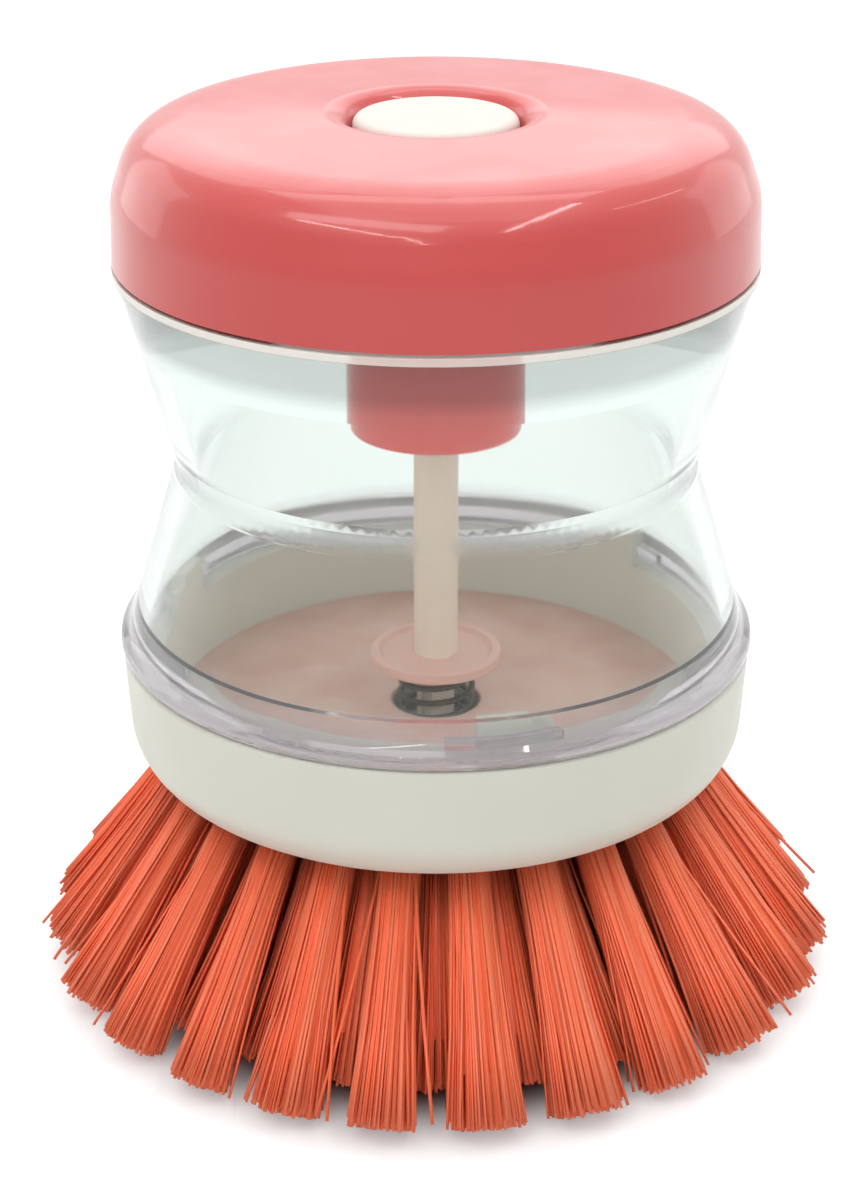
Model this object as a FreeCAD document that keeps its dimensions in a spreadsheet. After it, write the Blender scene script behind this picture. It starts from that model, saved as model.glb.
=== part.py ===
import FreeCAD, Part
import math
import os
from types import SimpleNamespace

import Sketcher

# Soap-dispensing palm dish brush: a screw cap with a push button on a clear hourglass bottle,
# which twists onto a white brush head. Millimetres and degrees, +Z up, the floor under the
# bristles at z = 0 and the common axis of the round pieces on Z.

SIZES = {
    # Brush head: the white bowl that carries the bristles
    "bristle_height": 25.5,
    "head_step": 0.2,
    "head_height": 14.7,
    "head_draft_width": 0.9,
    "head_corner": 6.2,
    "corner_share": 1.04,
    "head_floor": 6.0,
    "head_edge": 0.4,
    "head_turn": -82.5,
    # Bristle tufts, in three rings, with the staples that hold them
    "tuft_radius": 2.2,
    "hole_gap": 0.1,
    "hole_depth": 5.0,
    "foot_trim_length": 0.5,
    "outer_inset": 8.0,
    "outer_count": 24,
    "outer_lean": 33.0,
    "outer_tip_radius": 3.8,
    "middle_ring_share": 0.809,
    "middle_count": 24,
    "middle_lean": 29.0,
    "middle_tip_radius": 4.3,
    "inner_ring_share": 0.5,
    "inner_count": 12,
    "inner_lean": 15.0,
    "inner_tip_radius": 5.0,
    "strand_count": 7,
    "strand_groove_share": 0.76,
    "staple_width": 4.2,
    "staple_height": 1.4,
    "staple_thickness": 0.5,
    "staple_gap": 0.05,
    # Bayonet: lugs on the head's rim hook over ledges inside the bottle's foot
    "lug_count": 3,
    "lug_sweep": 10.0,
    "stop_sweep": 5.0,
    "lug_height": 4.2,
    "stop_height": 2.8,
    "lug_wall": 1.1,
    "lug_gap": 0.3,
    "ledge_reach": 0.9,
    "ledge_rise": 1.1,
    "ledge_thickness": 1.1,
    "ledge_sweep": 22.0,
    "ledge_lead": 6.0,
    # Bottle
    "foot_radius": 36.0,
    "foot_wall": 3.0,
    "foot_height": 1.5,
    "foot_gap": 0.1,
    "bead_slope": 1.3,
    "bead_round": 0.9,
    "crease_inset": 1.25,
    "crease_round": 3.0,
    "waist_inset": 7.1,
    "waist_height": 22.1,
    "waist_round": 5.0,
    "bottle_wall": 2.2,
    "bottle_height": 44.7,
    "shoulder_step": 0.2,
    "flange_reach": 0.3,
    "flange_height": 0.8,
    "neck_wall": 1.8,
    "neck_height": 8.0,
    # Screw thread between the bottle's neck and the cap's skirt
    "thread_pitch": 4.0,
    "thread_rise": 1.0,
    "thread_root": 1.8,
    "thread_crest": 1.0,
    "thread_sink": 0.3,
    "thread_start": 3.0,
    "thread_clearance": 0.4,
    "flank_gap": 0.3,
    "neck_turns": 0.95,
    "cap_turns": 1.2,
    # Cap, with the well that guides the button
    "cap_step": 1.0,
    "cap_height": 15.4,
    "cap_gap": 0.4,
    "cap_wall": 2.2,
    "skirt_wall": 1.2,
    "skirt_height": 7.2,
    "skirt_draft": 0.2,
    "skirt_round": 8.0,
    "skirt_slope": 2.2,
    "shoulder_inset": 2.4,
    "shoulder_drop": 2.0,
    "shoulder_round": 6.0,
    "shoulder_round_share": 1.3,
    "crown_inset": 7.1,
    "crown_drop": 0.6,
    "crown_round": 10.0,
    "crown_round_share": 2.2,
    "lip_round": 2.6,
    "well_gap": 0.4,
    "well_floor_gap": 0.2,
    "guide_gap": 0.3,
    "boss_radius": 9.5,
    "boss_wall": 1.2,
    "boss_drop": 19.7,
    "web_drop": 6.4,
    "web_thickness": 2.0,
    "post_gap": 0.2,
    # Push button
    "press_travel": 4.0,
    "button_radius": 8.9,
    "button_set": 0.6,
    "button_dome": 0.45,
    "button_flange": 2.7,
    "button_round": 1.0,
    "button_inset": 0.7,
    "button_wall": 1.2,
    "button_top_wall": 2.0,
    "button_rest": 2.2,
    "post_radius": 3.6,
    "barb_reach": 0.7,
    "barb_height": 2.3,
    "post_slot": 1.0,
    "slot_height": 8.4,
    "end_gap": 0.1,
    # Push rod with its spring cup, spring and valve seal
    "rod_radius": 2.5,
    "rod_reach": 9.9,
    "rod_gap": 0.2,
    "stem_radius": 2.2,
    "stem_neck_radius": 1.4,
    "stem_barb_radius": 2.4,
    "stem_tip_radius": 1.2,
    "stem_barb_height": 1.6,
    "slide_gap": 0.1,
    "flute_count": 3,
    "flute_width": 1.4,
    "flute_depth": 0.9,
    "flute_length": 8.1,
    "cup_radius": 7.5,
    "cup_web": 1.0,
    "cup_rim": 0.4,
    "cup_rim_width": 0.9,
    "cup_round": 0.3,
    "cup_hub_radius": 3.5,
    "cup_hub_length": 2.2,
    "cup_fit": 0.05,
    "seat_thickness": 2.5,
    "pocket_radius": 5.0,
    "spring_space": 8.6,
    "spring_gap": 0.1,
    "spring_radius": 4.2,
    "wire_radius": 0.35,
    "spring_turns": 5,
    "seal_radius": 6.0,
    "seal_thickness": 1.6,
    "seal_bevel": 0.7,
    "seal_gap": 0.1,
    # Gaskets under the cap and under the bottle's foot
    "cap_gasket_thickness": 1.0,
    "cap_gasket_inset": 0.2,
    "cap_gasket_gap": 0.05,
    "seat_lip": 0.8,
    "head_gasket_width": 1.3,
    "head_gasket_thickness": 0.8,
    "head_gasket_gap": 0.05,
    # Every cutting shape runs past the piece by this much
    "cut_overrun": 8.0,
}

# Two lengths closer than this are taken as the same edge
SAME_LENGTH = 0.001

UP = FreeCAD.Vector(0, 0, 1)
ACROSS = FreeCAD.Vector(0, 1, 0)


class Size:
    """A named size, or a sum of them: its value, and the sheet expression that gives it."""

    def __init__(self, value, text):
        self.value = value
        self.text = text

    def __add__(self, other):
        other = as_size(other)
        return Size(self.value + other.value, f"({self.text} + {other.text})")

    def __sub__(self, other):
        other = as_size(other)
        return Size(self.value - other.value, f"({self.text} - {other.text})")

    def __mul__(self, other):
        other = as_size(other)
        return Size(self.value * other.value, f"({self.text} * {other.text})")

    def __truediv__(self, other):
        other = as_size(other)
        return Size(self.value / other.value, f"({self.text} / {other.text})")

    def sine(self):
        return Size(math.sin(math.radians(self.value)), f"sin({self.text} * 1deg)")

    def cosine(self):
        return Size(math.cos(math.radians(self.value)), f"cos({self.text} * 1deg)")


def as_size(number):
    return number if isinstance(number, Size) else Size(number, str(number))


def smaller(first, second):
    return Size(min(first.value, second.value), f"min({first.text}; {second.text})")


doc = FreeCAD.newDocument("dish_brush")
sheet = doc.addObject("Spreadsheet::Sheet", "sizes")
for row, (alias, value) in enumerate(SIZES.items(), 1):
    sheet.set(f"A{row}", str(value))
    sheet.setAlias(f"A{row}", alias)
doc.recompute()
d = SimpleNamespace(**{alias: Size(value, f"sizes.{alias}") for alias, value in SIZES.items()})

# Heights above the floor, from the bristles up
head_bottom = d.bristle_height
head_top = head_bottom + d.head_height
bowl_floor = head_bottom + d.head_floor
pocket_floor = head_bottom + d.seat_thickness
foot_bottom = head_top + d.foot_gap
shoulder = foot_bottom + d.bottle_height
neck_top = shoulder + d.neck_height
cap_bottom = shoulder + d.cap_gap
cap_top = cap_bottom + d.cap_height
gasket_seat = neck_top + d.cap_gasket_thickness + d.cap_gasket_gap * 2
web_top = cap_bottom - d.web_drop
web_bottom = web_top - d.web_thickness
button_edge = cap_top - d.button_set
flange_bottom = button_edge - d.button_flange
rod_top = web_top + d.rod_reach
cup_bottom = pocket_floor + d.spring_space
cup_top = cup_bottom + d.cup_web
seal_top = head_bottom - d.seal_gap
seal_bottom = seal_top - d.seal_thickness

# Radii that follow from a neighbour and a clearance
cap_radius = d.foot_radius - d.cap_step
crown_radius = cap_radius - d.crown_inset
skirt_inner = cap_radius - d.skirt_wall
neck_radius = skirt_inner - d.thread_rise - d.thread_clearance
neck_inner = neck_radius - d.neck_wall
foot_inner = d.foot_radius - d.foot_wall
ledge_inner = foot_inner - d.ledge_reach
lug_outer = ledge_inner - d.lug_gap
bowl_radius = lug_outer - d.lug_wall
gasket_middle = d.foot_radius - d.foot_wall / 2
head_radius = d.foot_radius - d.head_step
heel = head_radius - d.head_draft_width
seam_radius = heel + d.head_draft_width * d.head_floor / d.head_height
waist_radius = d.foot_radius - d.waist_inset
shoulder_radius = cap_radius - d.shoulder_step
outer_ring = head_radius - d.outer_inset
middle_ring = outer_ring * d.middle_ring_share
inner_ring = outer_ring * d.inner_ring_share
# The middle ring is turned half a step, so that its tufts stand in the gaps of the outer ring
middle_turn = as_size(180) / d.middle_count
well_radius = d.button_radius + d.well_gap
skirt_guide = d.button_radius - d.button_inset
guide_radius = skirt_guide + d.guide_gap
valve_radius = d.stem_radius + d.slide_gap
hole_radius = d.tuft_radius + d.hole_gap
root_length = d.hole_depth - d.hole_gap

# Each ring of tufts: its radius on the head's face, turn, count, lean and the radius of its tips
TUFT_RINGS = {
    "outer": (outer_ring, as_size(0), d.outer_count, d.outer_lean, d.outer_tip_radius),
    "middle": (middle_ring, middle_turn, d.middle_count, d.middle_lean, d.middle_tip_radius),
    "inner": (inner_ring, as_size(0), d.inner_count, d.inner_lean, d.inner_tip_radius),
}


def bind(thing, **sizes):
    """Sets properties of an object from the sheet."""
    for name, size in sizes.items():
        thing.setExpression(name, size.text)


def origin_part(body, role):
    return next(part for part in body.Origin.OriginFeatures if part.Role == role)


def pin(sketch, line, kind, size):
    """Holds a line's start at a sheet distance from the sketch's origin, or on its axis at zero."""
    if isinstance(size, Size):
        index = sketch.addConstraint(Sketcher.Constraint(kind, line, 1, size.value))
        sketch.setExpression(f"Constraints[{index}]", size.text)
    else:
        axis = -2 if kind == "DistanceX" else -1
        sketch.addConstraint(Sketcher.Constraint("PointOnObject", line, 1, axis))


def outline(body, name, points):
    """A closed outline of straight lines on the XZ plane, through (radius, height) points."""
    sketch = body.newObject("Sketcher::SketchObject", name)
    sketch.AttachmentSupport = (origin_part(body, "XZ_Plane"), "")
    sketch.MapMode = "FlatFace"
    places = [FreeCAD.Vector(as_size(x).value, as_size(y).value, 0) for x, y in points]
    count = len(points)
    for index in range(count):
        line = Part.LineSegment(places[index], places[(index + 1) % count])
        sketch.addGeometry(line, False)
    for index in range(count):
        joined = Sketcher.Constraint("Coincident", index, 2, (index + 1) % count, 1)
        sketch.addConstraint(joined)
    for index, (x, y) in enumerate(points):
        pin(sketch, index, "DistanceX", x)
        pin(sketch, index, "DistanceY", y)
    return sketch


def revolve(body, name, points, sweep=None):
    """Turns an outline about Z, all round or through one sweep."""
    feature = body.newObject("PartDesign::Revolution", name)
    feature.Profile = outline(body, f"{name}_outline", points)
    feature.ReferenceAxis = (feature.Profile[0], ["V_Axis"])
    feature.Angle = 360
    if sweep:
        bind(feature, Angle=sweep)
    return feature


def repeat_round(body, name, feature, count):
    """Repeats a feature evenly about Z."""
    pattern = body.newObject("PartDesign::PolarPattern", name)
    pattern.Originals = [feature]
    pattern.Axis = (origin_part(body, "Z_Axis"), [""])
    pattern.Angle = 360
    bind(pattern, Occurrences=count)
    body.Tip = pattern
    return pattern


def round_rings(body, name, radius, rings):
    """Rounds the circular edges of the body so far that lie at these radii and heights."""
    doc.recompute()
    names = []
    for index, edge in enumerate(body.Tip.Shape.Edges, 1):
        if not isinstance(edge.Curve, Part.Circle):
            continue
        for ring_radius, height in rings:
            across = abs(edge.Curve.Radius - ring_radius.value)
            along = abs(edge.Curve.Center.z - height.value)
            if max(across, along) < SAME_LENGTH:
                names.append(f"Edge{index}")
    fillet = body.newObject("PartDesign::Fillet", name)
    fillet.Base = (body.Tip if body.Tip != fillet else fillet.BaseFeature, names)
    bind(fillet, Radius=radius)
    return fillet


def new_body(name, turn=None):
    body = doc.addObject("PartDesign::Body", name)
    if turn:
        body.Placement = FreeCAD.Placement(FreeCAD.Vector(), FreeCAD.Rotation(UP, turn.value))
    return body


def ring_body(name, inner, outer, bottom, top):
    """A plain flat ring."""
    body = new_body(name)
    revolve(body, f"{name}_ring", [(inner, bottom), (outer, bottom), (outer, top), (inner, top)])
    return body


def drill_tuft_holes(body, name, ring, turn, count, lean):
    """One ring of blind holes in the head's face, each on the axis of its tuft."""
    across, down = lean.sine(), lean.cosine()
    inner = (ring - d.hole_depth * across, head_bottom + d.hole_depth * down)
    outer = (ring + d.cut_overrun * across, head_bottom - d.cut_overrun * down)
    aside = (hole_radius * down, hole_radius * across)
    points = [inner, outer]
    points += [(x + aside[0], y + aside[1]) for x, y in (outer, inner)]
    groove = body.newObject("PartDesign::Groove", f"{name}_hole")
    sketch = outline(body, f"{name}_hole_outline", points)
    sketch.AttachmentOffset = FreeCAD.Placement(FreeCAD.Vector(), FreeCAD.Rotation(ACROSS, turn.value))
    ends = [FreeCAD.Vector(x.value, y.value, 0) for x, y in (inner, outer)]
    axis = sketch.addGeometry(Part.LineSegment(ends[0], ends[1]), True)
    sketch.addConstraint(Sketcher.Constraint("Coincident", axis, 1, 0, 1))
    sketch.addConstraint(Sketcher.Constraint("Coincident", axis, 2, 0, 2))
    groove.Profile = sketch
    groove.ReferenceAxis = (sketch, ["Axis0"])
    groove.Angle = 360
    repeat_round(body, f"{name}_holes", groove, count)


def make_brush_plate():
    """The drilled lower half of the head: its floor, with the spring's pocket and the tuft holes."""
    body = new_body("brush_plate", d.head_turn)
    revolve(body, "plate_disc", [
        (valve_radius, head_bottom), (heel, head_bottom), (seam_radius, bowl_floor),
        (d.pocket_radius, bowl_floor), (d.pocket_radius, pocket_floor), (valve_radius, pocket_floor),
    ])
    # The rounded corner takes no more than its share of the plate's edge
    corner = smaller(d.head_corner, d.head_floor * d.corner_share)
    round_rings(body, "plate_corner_round", corner, [(heel, head_bottom)])
    round_rings(body, "pocket_edge_round", d.head_edge, [(d.pocket_radius, bowl_floor)])
    for name, (ring, turn, count, lean, _) in TUFT_RINGS.items():
        drill_tuft_holes(body, name, ring, turn, count, lean)
    return body


def make_head_bowl():
    """The wall of the head, welded to the plate at the level of its floor, with the bayonet lugs."""
    body = new_body("head_bowl", d.head_turn)
    groove_inner = gasket_middle - d.head_gasket_width / 2 - d.head_gasket_gap
    groove_outer = gasket_middle + d.head_gasket_width / 2 + d.head_gasket_gap
    groove_floor = head_top - d.head_gasket_thickness
    revolve(body, "bowl_wall", [
        (bowl_radius, bowl_floor), (seam_radius, bowl_floor), (head_radius, head_top),
        (groove_outer, head_top), (groove_outer, groove_floor),
        (groove_inner, groove_floor), (groove_inner, head_top), (bowl_radius, head_top),
    ])
    round_rings(body, "rim_edge_round", d.head_edge, [(head_radius, head_top)])
    # Each lug stands on the rim and hooks outward over a ledge; a lower stop stands beside it
    hook_outer = foot_inner - d.lug_gap
    hook_bottom = head_top + d.ledge_rise + d.ledge_thickness + d.lug_gap
    lug_top = head_top + d.lug_height
    lug_foot = head_top - d.lug_gap
    lug = revolve(body, "lug", [
        (bowl_radius, lug_foot), (lug_outer, lug_foot), (lug_outer, hook_bottom),
        (hook_outer, hook_bottom), (hook_outer, lug_top), (bowl_radius, lug_top),
    ], d.lug_sweep)
    repeat_round(body, "lugs", lug, d.lug_count)
    stop_top = head_top + d.stop_height
    stop = revolve(body, "lug_stop", [
        (bowl_radius, lug_foot), (lug_outer, lug_foot), (lug_outer, stop_top), (bowl_radius, stop_top),
    ], d.lug_sweep + d.stop_sweep)
    repeat_round(body, "lug_stops", stop, d.lug_count)
    return body


def thread_ridge(body, name, root_radius, rise, height, turns):
    """A helical ridge about Z; a negative rise points it inward."""
    sunk = root_radius - rise * d.thread_sink / d.thread_rise
    crest = root_radius + rise
    # The flanks run on into the wall at the same slope
    spread = (d.thread_root - d.thread_crest) / 2 * d.thread_sink / d.thread_rise
    half_root = d.thread_root / 2 + spread
    half_crest = d.thread_crest / 2
    ridge = body.newObject("PartDesign::AdditiveHelix", name)
    ridge.Profile = outline(body, f"{name}_outline", [
        (sunk, height - half_root), (crest, height - half_crest),
        (crest, height + half_crest), (sunk, height + half_root),
    ])
    ridge.ReferenceAxis = (ridge.Profile[0], ["V_Axis"])
    ridge.Mode = "pitch-turns-angle"
    bind(ridge, Pitch=d.thread_pitch, Turns=turns)
    return ridge


def make_bottle():
    body = new_body("bottle", d.head_turn - d.ledge_lead)
    bead_top = foot_bottom + d.foot_height
    crease = bead_top + d.bead_slope
    crease_radius = d.foot_radius - d.crease_inset
    waist = foot_bottom + d.waist_height
    cone_top = shoulder - d.flange_height
    flange_radius = shoulder_radius + d.flange_reach
    # The inner wall follows the outer one, and runs straight up where the neck narrows it
    lower_slope = (crease_radius - waist_radius) / (waist - crease)
    upper_slope = (shoulder_radius - waist_radius) / (cone_top - waist)
    waist_inner = waist_radius - d.bottle_wall
    neck_start = waist + (neck_inner - waist_inner) / upper_slope
    lug_room = head_top + d.lug_height + d.lug_gap
    room_inner = waist_inner + (waist - lug_room) * lower_slope
    revolve(body, "bottle_wall", [
        (foot_inner, foot_bottom), (d.foot_radius, foot_bottom), (d.foot_radius, bead_top),
        (crease_radius, crease), (waist_radius, waist), (shoulder_radius, cone_top),
        (flange_radius, cone_top), (flange_radius, shoulder), (neck_radius, shoulder),
        (neck_radius, neck_top), (neck_inner, neck_top), (neck_inner, neck_start),
        (waist_inner, waist), (room_inner, lug_room), (foot_inner, lug_room),
    ])
    round_rings(body, "waist_outer_round", d.waist_round, [(waist_radius, waist)])
    round_rings(body, "waist_inner_round", d.waist_round + d.bottle_wall, [(waist_inner, waist)])
    bead = [(d.foot_radius, foot_bottom), (d.foot_radius, bead_top)]
    round_rings(body, "bead_edge_round", d.bead_round, bead)
    round_rings(body, "crease_edge_round", d.crease_round, [(crease_radius, crease)])
    ledge_bottom = head_top + d.ledge_rise
    ledge_top = ledge_bottom + d.ledge_thickness
    ledge_back = foot_inner + d.lug_gap
    ledge = revolve(body, "ledge", [
        (ledge_inner, ledge_bottom), (ledge_back, ledge_bottom),
        (ledge_back, ledge_top), (ledge_inner, ledge_top),
    ], d.ledge_sweep)
    repeat_round(body, "ledges", ledge, d.lug_count)
    thread_ridge(body, "neck_thread", neck_radius, d.thread_rise, shoulder + d.thread_start, d.neck_turns)
    return body


def make_cap():
    body = new_body("cap", d.head_turn - d.ledge_lead)
    skirt_top = cap_bottom + d.skirt_height
    skirt_edge = cap_radius - d.skirt_draft
    shoulder_edge = cap_radius - d.shoulder_inset
    shoulder_top = cap_top - d.shoulder_drop
    crown_edge = cap_top - d.crown_drop
    ceiling = crown_edge - d.cap_wall
    boss_bottom = cap_bottom - d.boss_drop
    well_floor = flange_bottom - d.press_travel - d.well_floor_gap
    boss_inner = d.boss_radius - d.boss_wall
    boss_upper = well_radius + d.boss_wall
    post_hole = d.post_radius + d.post_gap
    seat_inner = neck_inner - d.seat_lip
    seat_outer = neck_radius + d.thread_clearance
    revolve(body, "cap_shell", [
        (cap_radius, cap_bottom), (skirt_edge, skirt_top), (shoulder_edge, shoulder_top),
        (crown_radius, crown_edge), (well_radius, cap_top), (well_radius, well_floor),
        (guide_radius, well_floor), (guide_radius, web_top), (post_hole, web_top),
        (post_hole, web_bottom), (boss_inner, web_bottom), (boss_inner, boss_bottom),
        (d.boss_radius, boss_bottom), (d.boss_radius, web_top),
        (boss_upper, well_floor), (boss_upper, ceiling), (seat_inner, ceiling),
        (seat_inner, gasket_seat), (seat_outer, gasket_seat),
        (skirt_inner, gasket_seat - d.skirt_slope), (skirt_inner, cap_bottom),
    ])
    round_rings(body, "lip_edge_round", d.lip_round, [(well_radius, cap_top)])
    round_rings(body, "skirt_edge_round", d.skirt_round, [(skirt_edge, skirt_top)])
    # These two rounds share the slope between them, so each keeps within its part of it
    slope_width = shoulder_edge - crown_radius
    shoulder_round = smaller(d.shoulder_round, slope_width * d.shoulder_round_share)
    crown_round = smaller(d.crown_round, slope_width * d.crown_round_share)
    round_rings(body, "shoulder_edge_round", shoulder_round, [(shoulder_edge, shoulder_top)])
    round_rings(body, "crown_edge_round", crown_round, [(crown_radius, crown_edge)])
    # The cap's ridge runs under the neck's ridge, with the flank gap between them
    lean_in = (d.thread_root - d.thread_crest) / 2
    both_halves = d.thread_root - lean_in * (d.thread_rise + d.thread_clearance) / d.thread_rise
    ridge_height = shoulder + d.thread_start - both_halves - d.flank_gap
    thread_ridge(body, "cap_thread", skirt_inner, d.thread_rise * -1, ridge_height, d.cap_turns)
    return body


def make_button():
    body = new_body("button_moulding")
    button_top = button_edge + d.button_dome
    skirt_bottom = web_top + d.press_travel + d.button_rest
    skirt_inside = skirt_guide - d.button_wall
    underside = button_edge - d.button_top_wall
    barb_top = web_bottom - d.end_gap
    barb_bottom = barb_top - d.barb_height
    bore = d.rod_radius + d.rod_gap
    bore_top = rod_top + d.end_gap
    revolve(body, "button_shell", [
        (0, button_top), (d.button_radius, button_edge), (d.button_radius, flange_bottom),
        (skirt_guide, flange_bottom), (skirt_guide, skirt_bottom), (skirt_inside, skirt_bottom),
        (skirt_inside, underside), (d.post_radius, underside), (d.post_radius, barb_top),
        (d.post_radius + d.barb_reach, barb_top), (d.post_radius, barb_bottom),
        (bore, barb_bottom), (bore, bore_top), (0, bore_top),
    ])
    round_rings(body, "button_edge_round", d.button_round, [(d.button_radius, button_edge)])
    # Crossed slots let the barbs spring through the guide web
    reach = d.post_radius + d.barb_reach + d.button_wall
    slots = []
    for name, length, width in (("x", reach * 2, d.post_slot), ("y", d.post_slot, reach * 2)):
        slot = doc.addObject("Part::Box", f"post_slot_{name}")
        height = d.slot_height + d.cut_overrun
        bind(slot, Length=length, Width=width, Height=height)
        low = barb_bottom - d.cut_overrun
        slot.Placement.Base = FreeCAD.Vector(-length.value / 2, -width.value / 2, low.value)
        slots.append(slot)
    cross = doc.addObject("Part::MultiFuse", "post_slots")
    cross.Shapes = slots
    return cut_from("button", body, cross)


def cut_from(name, base, tool):
    cut = doc.addObject("Part::Cut", name)
    cut.Base = base
    cut.Tool = tool
    return cut


def make_push_rod():
    body = new_body("rod_moulding")
    barb_bottom = seal_bottom - d.stem_barb_height
    revolve(body, "rod_shaft", [
        (0, rod_top), (d.rod_radius, rod_top), (d.rod_radius, cup_top), (d.stem_radius, cup_top),
        (d.stem_radius, seal_top), (d.stem_neck_radius, seal_top), (d.stem_neck_radius, seal_bottom),
        (d.stem_barb_radius, seal_bottom), (d.stem_tip_radius, barb_bottom), (0, barb_bottom),
    ])
    # Flutes along the stem let the soap past the valve hole
    flutes = []
    root = d.stem_radius - d.flute_depth
    for index in range(SIZES["flute_count"]):
        flute = doc.addObject("Part::Box", f"flute_{index + 1}")
        bind(flute, Length=d.flute_depth + d.slide_gap, Width=d.flute_width, Height=d.flute_length)
        turn = FreeCAD.Rotation(UP, 360 * index / SIZES["flute_count"])
        corner = FreeCAD.Vector(root.value, -d.flute_width.value / 2, seal_top.value)
        flute.Placement = FreeCAD.Placement(turn.multVec(corner), turn)
        flutes.append(flute)
    together = doc.addObject("Part::MultiFuse", "flutes")
    together.Shapes = flutes
    return cut_from("push_rod", body, together)


def make_spring_cup():
    body = new_body("spring_cup")
    bore = d.stem_radius + d.cup_fit
    hub_bottom = cup_bottom - d.cup_hub_length
    rim_top = cup_top + d.cup_rim
    rim_inner = d.cup_radius - d.cup_rim_width
    revolve(body, "cup_disc", [
        (bore, hub_bottom), (d.cup_hub_radius, hub_bottom), (d.cup_hub_radius, cup_bottom),
        (d.cup_radius, cup_bottom), (d.cup_radius, rim_top), (rim_inner, rim_top),
        (rim_inner - d.cup_rim, cup_top), (bore, cup_top),
    ])
    rims = [(d.cup_radius, cup_bottom), (d.cup_radius, rim_top)]
    round_rings(body, "cup_rim_round", d.cup_round, rims)
    return body


def make_valve_seal():
    body = new_body("valve_seal")
    bore = d.stem_neck_radius + d.cup_fit
    revolve(body, "seal_disc", [
        (bore, seal_bottom), (d.seal_radius - d.seal_bevel, seal_bottom),
        (d.seal_radius, seal_bottom + d.seal_bevel), (d.seal_radius, seal_top), (bore, seal_top),
    ])
    return body


def arc_middle(start, way, end):
    """The middle of the arc that leaves start along way and reaches end."""
    chord = end - start
    side = chord - way * chord.dot(way)
    side.normalize()
    radius = chord.dot(chord) / (2 * chord.dot(side))
    half = math.atan2(chord.dot(side), chord.dot(way))
    return start + side * (radius * (1 - math.cos(half))) + way * (radius * math.sin(half))


def biarc(start, way, end, end_way):
    """Two arcs that meet smoothly, from start along way to end along end_way."""
    chord = end - start
    along = chord.dot(way + end_way)
    bend = 2 * (1 - way.dot(end_way))
    reach = (math.sqrt(along * along + bend * chord.dot(chord)) - along) / bend
    meet = (start + end + (way - end_way) * reach) / 2
    first = Part.Arc(start, arc_middle(start, way, meet), meet)
    second = Part.Arc(meet, arc_middle(end, end_way * -1, meet), end)
    return [first.toShape(), second.toShape()]


def make_return_spring():
    """One unbroken wire wound on a helix, between the pocket's floor and the cup."""
    radius = d.spring_radius.value
    wire = d.wire_radius.value
    turns = d.spring_turns.value
    low = pocket_floor.value + d.spring_gap.value + wire
    rise = (d.spring_space - d.spring_gap * 2 - d.wire_radius * 2).value
    slope = rise / (2 * math.pi * turns)

    def place(angle):
        return FreeCAD.Vector(radius * math.cos(angle), radius * math.sin(angle), low + slope * angle)

    def way(angle):
        return FreeCAD.Vector(-radius * math.sin(angle), radius * math.cos(angle), slope).normalize()

    edges = []
    quarter = math.pi / 2
    for index in range(round(turns * 4)):
        start, end = index * quarter, (index + 1) * quarter
        edges += biarc(place(start), way(start), place(end), way(end))
    path = Part.Wire(edges)
    section = Part.Wire([Part.Circle(place(0), way(0), wire).toShape()])
    spring = doc.addObject("Part::Feature", "return_spring")
    spring.Shape = path.makePipeShell([section], True, False)
    spring.Placement = FreeCAD.Placement()

    # Least gap between one turn and the next, on points an eighth of a turn apart
    eighth = math.pi / 4
    points = [place(index * eighth) for index in range(round(turns * 8) + 1)]
    pairs = [(a, b) for i, a in enumerate(points) for b in points[i + 4:]]
    gap = min(a.distanceToPoint(b) for a, b in pairs) - 2 * wire
    print(f"return_spring: least gap to itself {gap:.2f} mm")
    return spring


def tuft_place(ring, lean, turn):
    """The frame of a tuft: origin on the head's face, local Z along the bristles to their tips."""
    about = FreeCAD.Rotation(UP, turn)
    base = about.multVec(FreeCAD.Vector(ring.value, 0, head_bottom.value))
    return FreeCAD.Placement(base, about.multiply(FreeCAD.Rotation(ACROSS, 180 - lean.value)))


def in_tuft(frame, x, y, z):
    return frame.multiply(FreeCAD.Placement(FreeCAD.Vector(x, y, z), FreeCAD.Rotation()))


def strand_outline(name, frame, radius, height):
    """A star across a tuft: one point for each strand of bristles, with a groove between strands."""
    points = []
    corners = 2 * SIZES["strand_count"]
    for index in range(corners):
        share = SIZES["strand_groove_share"] if index % 2 else 1
        angle = math.tau * index / corners
        reach = radius.value * share
        points.append(FreeCAD.Vector(reach * math.cos(angle), reach * math.sin(angle), 0))
    star = doc.addObject("Part::Polygon", name)
    star.Nodes = points
    star.Close = True
    star.Placement = in_tuft(frame, 0, 0, height.value)
    return star


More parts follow.
